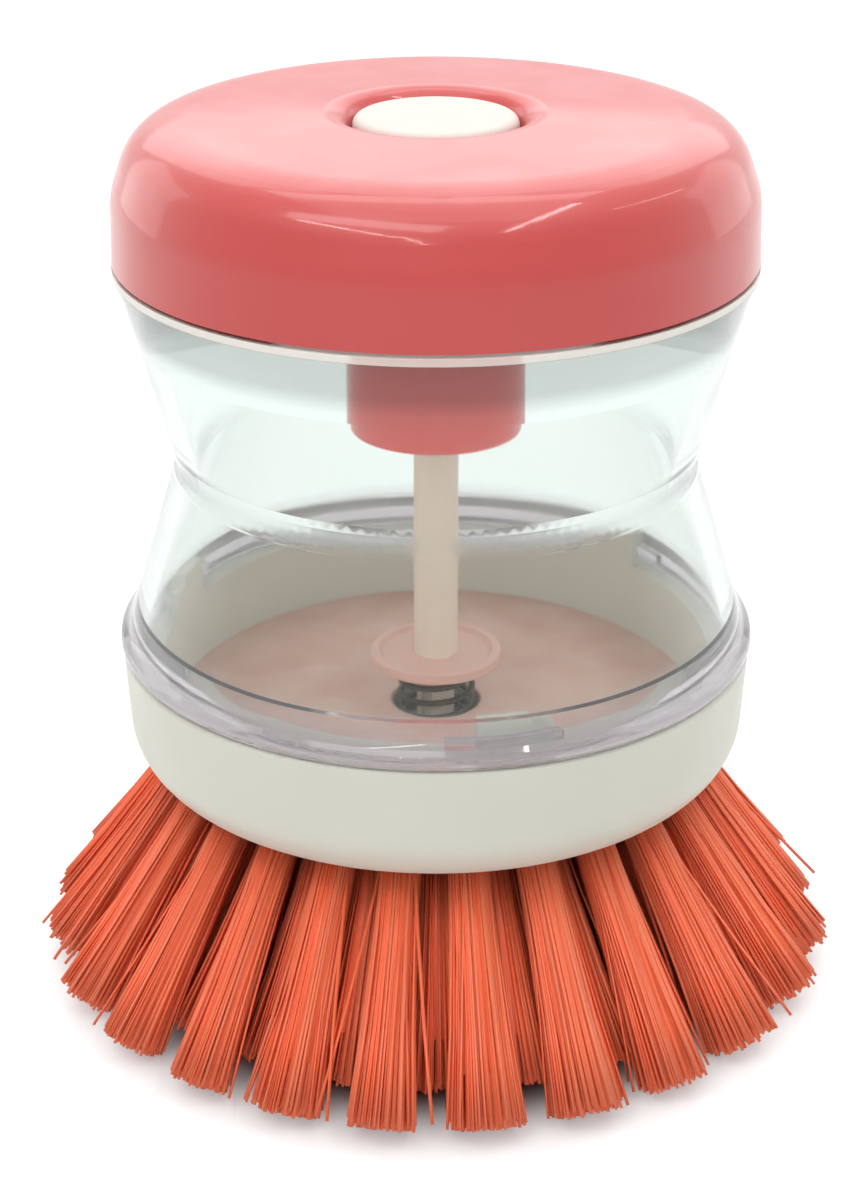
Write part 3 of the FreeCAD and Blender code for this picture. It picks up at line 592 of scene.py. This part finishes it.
# %% World
AMBIENT = 0.4
INSIDE = 2.3
WHITE = (1, 1, 1, 1)
HALF_A_BOUNCE = 0.5


def seen_by_eye(path, tree):
    """One for rays that look at a surface or see it in gloss or glass, none for rays that light it."""
    seen = reckon(tree, "MAXIMUM", path["Is Camera Ray"], path["Is Glossy Ray"])
    return reckon(tree, "MAXIMUM", seen, path["Is Transmission Ray"])


world = bpy.data.worlds.new("white_tent")
scene.world = world
world.use_nodes = True
world.cycles.sampling_method = "NONE"
tree = world.node_tree
path = add(tree, "ShaderNodeLightPath").outputs
level = ramp(tree, seen_by_eye(path, tree), 0.0, 1.0, AMBIENT, 1.0)
lit = reckon(tree, "GREATER_THAN", path["Diffuse Depth"], HALF_A_BOUNCE)
entering = reckon(tree, "MULTIPLY", lit, path["Is Transmission Ray"])
level = blend(tree, entering, level, INSIDE, kind="FLOAT")
tree.nodes["Background"].inputs["Color"].default_value = WHITE
tree.links.new(level, tree.nodes["Background"].inputs["Strength"])
print("world at", AMBIENT, "for light, 1 for the eye,", INSIDE, "inside the bottle")

# %% Lamps
CROWN = (0, 0, 0.1)
WAIST = (0, 0, 0.06)
HEAD = (0, 0, 0.04)


def lamp(name, place, size, power, aim=None, turn=0):
    """A rectangle of light that faces a point, or lies flat and faces down, turned in its plane."""
    light = bpy.data.lights.new(name, "AREA")
    light.shape = "RECTANGLE"
    light.size, light.size_y = size
    light.energy = power
    thing = bpy.data.objects.new(name, light)
    thing.location = place
    thing.rotation_euler = (0, 0, math.radians(turn))
    if aim:
        thing.rotation_euler = (Vector(place) - Vector(aim)).to_track_quat("Z", "Y").to_euler()
    thing.visible_camera = False
    thing.visible_transmission = False
    scene.collection.objects.link(thing)
    print(name, power, "W,", size[0], "by", size[1], "m")


# Places and sizes are in metres, powers in watts and turns in degrees
lamp("back_panel", (0, 0.58, 0.5), (0.8, 0.54), 1.7, aim=CROWN)
lamp("top_softbox", (0, -0.05, 0.75), (0.6, 0.5), 1.0)
lamp("high_back_panel", (0, 0.28, 0.72), (0.6, 0.16), 0.9, aim=CROWN)
lamp("front_softbox", (-0.22, -0.32, 0.68), (0.6, 0.16), 1.3, aim=HEAD)
lamp("left_panel", (-0.52, 0.36, 0.22), (0.4, 0.4), 0.6, aim=WAIST)
lamp("right_panel", (0.52, 0.36, 0.22), (0.4, 0.4), 0.5, aim=WAIST)
lamp("left_strip", (-0.246, -0.566, 0.6), (0.75, 0.018), 1.3, turn=-59.5)
lamp("right_strip", (0.267, -0.237, 0.6), (0.58, 0.016), 0.9, turn=91)
lamp("far_right_strip", (0.6, 0.144, 0.6), (0.46, 0.01), 0.2, turn=60.5)

# %% [markdown]
# ## Floor
#
# A pale sheet under the brush. For the rays that light the brush it is white paper. The eye sees a
# greyer paper with a glow, which makes the shadow as faint as the picture's and lifts the sheet to
# the white of its background. The glow starts outside the bristles, so under them the eye sees the
# greyer paper alone, a painted shade that darkens the ground there, and the glow grows far out, where
# the lamps hardly reach the sheet.

# %% Pale floor
FLOOR_HALF = 3
EYE_PAPER = "#b2b2b2"
GLOW = 0.68
GLOW_STARTS = 34 * MM
GLOW_FULL = 50 * MM
FAR_GLOW = 0.25
FAR_STARTS = 0.2
FAR_FULL = 0.9

bm = bmesh.new()
bmesh.ops.create_grid(bm, x_segments=1, y_segments=1, size=FLOOR_HALF)
floor_mesh = bpy.data.meshes.new("floor")
bm.to_mesh(floor_mesh)
bm.free()
paper, tree, shader, place = new_finish(
    "pale_paper", Roughness=0.9, Specular_IOR_Level=0.1, Emission_Color=WHITE)
seen = seen_by_eye(add(tree, "ShaderNodeLightPath").outputs, tree)
sheet = mottle(tree, place, blotch_mm=2, dark="#f3f3f2", light="#f5f5f4")
tree.links.new(blend(tree, seen, sheet, linear(EYE_PAPER)), shader.inputs["Base Color"])
from_axis = add(tree, "ShaderNodeVectorMath", {0: place}, operation="LENGTH").outputs["Value"]
# No glow under the bristles: there the eye sees only the grey paper, a painted shade
ring_glow = ramp(tree, from_axis, GLOW_STARTS, GLOW_FULL, 0.0, GLOW, curve="SMOOTHSTEP")
far_glow = ramp(tree, from_axis, FAR_STARTS, FAR_FULL, 0.0, FAR_GLOW)
glow = reckon(tree, "MULTIPLY", seen, reckon(tree, "ADD", ring_glow, far_glow))
tree.links.new(glow, shader.inputs["Emission Strength"])
floor_mesh.materials.append(paper)
floor = bpy.data.objects.new("floor", floor_mesh)
scene.collection.objects.link(floor)
print("floor", 2 * FLOOR_HALF, "m across, its glow full", GLOW_FULL / MM, "mm from the axis")

# %% [markdown]
# ## View transform
#
# The view transform is Standard, so that colours come out as they are written.

# %% Finish
scene.view_settings.view_transform = "Standard"
